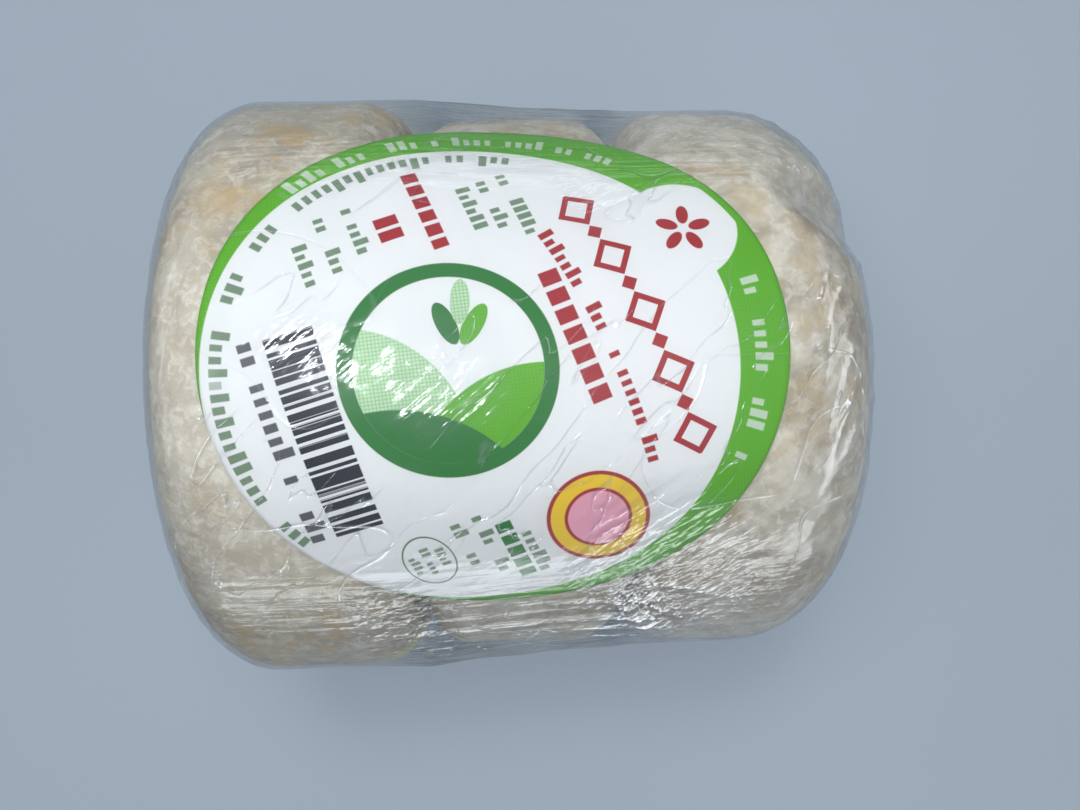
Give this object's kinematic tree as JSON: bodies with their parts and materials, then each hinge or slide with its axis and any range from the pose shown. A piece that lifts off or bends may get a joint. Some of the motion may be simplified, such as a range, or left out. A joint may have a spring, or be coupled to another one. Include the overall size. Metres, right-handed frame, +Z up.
{
  "type": "film-wrapped row of small goat cheeses",
  "caption": "Small round goat's-milk cheeses on edge in a row, under a round paper label and one tight clear film.",
  "frame": {"origin": "under the middle of the pack, on the flat that it rests on", "axes": "+X along the row of cheeses, towards its smaller right end; +Z up, through the label"},
  "size_m": [0.0668, 0.062, 0.061],
  "materials": {
    "cheese": "matte bloomy rind",
    "label": "coated paper",
    "film": "clear gloss stretch film"
  },
  "bodies": {
    "root": {"cheese_left": "cheese", "cheese_middle": "cheese", "cheese_right": "cheese", "label": "label", "film": "film"}
  },
  "joints": []
}
